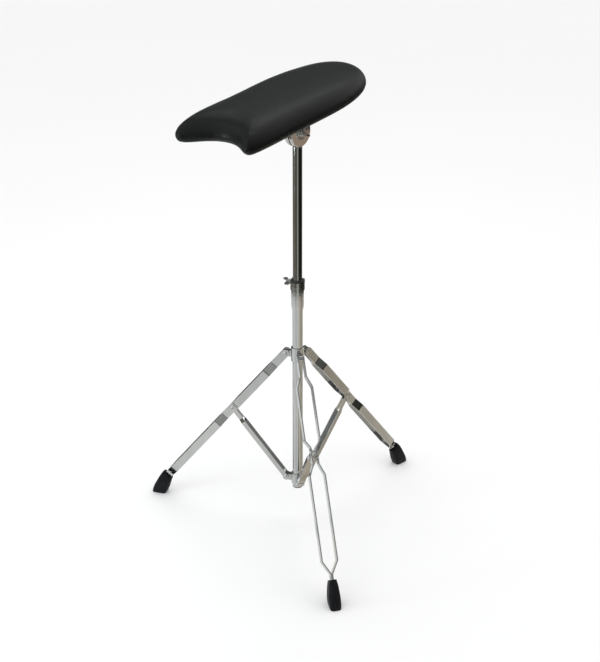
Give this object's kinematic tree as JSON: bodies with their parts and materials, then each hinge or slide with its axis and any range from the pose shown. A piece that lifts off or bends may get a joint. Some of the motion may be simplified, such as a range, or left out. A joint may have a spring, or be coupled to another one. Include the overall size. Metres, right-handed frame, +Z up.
{
  "type": "drum throne",
  "caption": "Height-adjustable stool on a folding chromed tripod, with a long notched black pad on a tilter at the top of its pole.",
  "frame": {"origin": "on the floor under the pole's axis, midway between the three feet", "axes": "+Z up along the pole; Y along the pad, +Y to its round end and -Y to its notch; +X to the tilter's wing nut"},
  "size_m": [0.6028, 0.595, 0.9812],
  "materials": {
    "chrome": "bright chrome plating on steel, polished",
    "bright_steel": "bright zinc plate on turned steel fasteners",
    "plated_casting": "chrome on a die casting, slightly soft edges",
    "rubber": "moulded black rubber, satin",
    "black_nylon": "moulded black nylon",
    "black_steel": "black powder coat on pressed steel",
    "fibre": "pressed fibre friction disc",
    "plywood": "raw birch plywood",
    "foam": "polyurethane foam, hidden by the cover",
    "vinyl": "black grained vinyl, soft sheen",
    "lining": "black non-woven bottom cloth"
  },
  "bodies": {
    "base": {"base_tube": "chrome", "base_plug": "black_nylon", "lower_collar": "chrome", "lower_collar_pin": "bright_steel", "lower_pivot_rivets": "bright_steel", "clamp_sleeve": "chrome", "clamp_bushing": "black_nylon", "height_clamp": "chrome", "clamp_bolt": "bright_steel"},
    "brace_1": {"brace_1": "chrome"},
    "leg_1": {"leg_strip_left_1": "chrome", "leg_strip_right_1": "chrome", "leg_mid_rivet_1": "bright_steel", "leg_tip_rivet_1": "bright_steel", "rubber_foot_1": "rubber"},
    "brace_2": {"brace_2": "chrome"},
    "leg_2": {"leg_strip_left_2": "chrome", "leg_strip_right_2": "chrome", "leg_mid_rivet_2": "bright_steel", "leg_tip_rivet_2": "bright_steel", "rubber_foot_2": "rubber"},
    "brace_3": {"brace_3": "chrome"},
    "leg_3": {"leg_strip_left_3": "chrome", "leg_strip_right_3": "chrome", "leg_mid_rivet_3": "bright_steel", "leg_tip_rivet_3": "bright_steel", "rubber_foot_3": "rubber"},
    "collar": {"upper_collar": "chrome", "upper_pivot_rivets": "bright_steel"},
    "collar_lock": {"collar_lock_screw": "plated_casting"},
    "clamp_nut": {"clamp_wing_nut": "plated_casting"},
    "post": {"upper_tube": "chrome", "retainer_screw": "black_steel"},
    "swivel": {"tilter_socket": "chrome", "friction_disc": "fibre", "tilt_bolt": "bright_steel", "tilt_washer": "bright_steel"},
    "tilt_nut": {"tilt_wing_nut": "plated_casting"},
    "seat": {"tilter_yoke": "chrome", "seat_plate": "black_steel", "plate_screws": "bright_steel", "tee_nuts": "bright_steel", "seat_board": "plywood", "seat_foam": "foam", "seat_cover": "vinyl", "bottom_cloth": "lining"}
  },
  "joints": [
    {"name": "leg_fold", "type": "hinge", "parent": "base", "child": "brace_1", "pos_m": [0.00274, 0.02485, 0.0976], "axis": [0.994, -0.1097, 0], "range_deg": [0, 34]},
    {"name": "leg_1_fold", "type": "hinge", "parent": "brace_1", "child": "leg_1", "pos_m": [0.01604, 0.14525, 0.2488], "axis": [0.994, -0.1097, 0], "range_deg": [-68, 0]},
    {"name": "brace_2_fold", "type": "hinge", "parent": "base", "child": "brace_2", "pos_m": [-0.02289, -0.01005, 0.0976], "axis": [-0.4019, 0.9157, 0], "range_deg": [0, 34]},
    {"name": "leg_2_fold", "type": "hinge", "parent": "brace_2", "child": "leg_2", "pos_m": [-0.13381, -0.05874, 0.2488], "axis": [-0.4019, 0.9157, 0], "range_deg": [-68, 0]},
    {"name": "brace_3_fold", "type": "hinge", "parent": "base", "child": "brace_3", "pos_m": [0.02015, -0.0148, 0.0976], "axis": [-0.592, -0.8059, 0], "range_deg": [0, 34]},
    {"name": "leg_3_fold", "type": "hinge", "parent": "brace_3", "child": "leg_3", "pos_m": [0.11777, -0.08651, 0.2488], "axis": [-0.592, -0.8059, 0], "range_deg": [-68, 0]},
    {"name": "collar_slide_link", "type": "hinge", "parent": "leg_1", "child": "collar", "pos_m": [0.00274, 0.02485, 0.4], "axis": [0.994, -0.1097, 0], "range_deg": [0, 34]},
    {"name": "collar_lock_turn", "type": "hinge", "parent": "collar", "child": "collar_lock", "pos_m": [-0.01934, 0.01421, 0.4], "axis": [-0.8059, 0.592, 0], "range_deg": [0, 360]},
    {"name": "clamp_nut_turn", "type": "hinge", "parent": "base", "child": "clamp_nut", "pos_m": [-0.02446, 0.00721, 0.5558], "axis": [-0.7009, -0.7133, 0], "range_deg": [0, 360]},
    {"name": "height_slide", "type": "slide", "parent": "base", "child": "post", "axis": [0, 0, 1], "range_m": [-0.25, 0.06]},
    {"name": "seat_swivel", "type": "hinge", "parent": "post", "child": "swivel", "pos_m": [0, 0, 0.835], "axis": [0, 0, 1], "continuous": true},
    {"name": "tilt_nut_turn", "type": "hinge", "parent": "swivel", "child": "tilt_nut", "pos_m": [0.016, 0, 0.875], "axis": [1, 0, 0], "range_deg": [0, 360]},
    {"name": "seat_tilt", "type": "hinge", "parent": "swivel", "child": "seat", "pos_m": [0, 0, 0.875], "axis": [1, 0, 0], "range_deg": [-30, 30]}
  ],
  "couplings": [
    {"joint": "leg_1_fold", "follows": "leg_fold", "ratio": -2},
    {"joint": "brace_2_fold", "follows": "leg_fold", "ratio": 1},
    {"joint": "leg_2_fold", "follows": "leg_fold", "ratio": -2},
    {"joint": "brace_3_fold", "follows": "leg_fold", "ratio": 1},
    {"joint": "leg_3_fold", "follows": "leg_fold", "ratio": -2},
    {"joint": "collar_slide_link", "follows": "leg_fold", "ratio": 1}
  ]
}
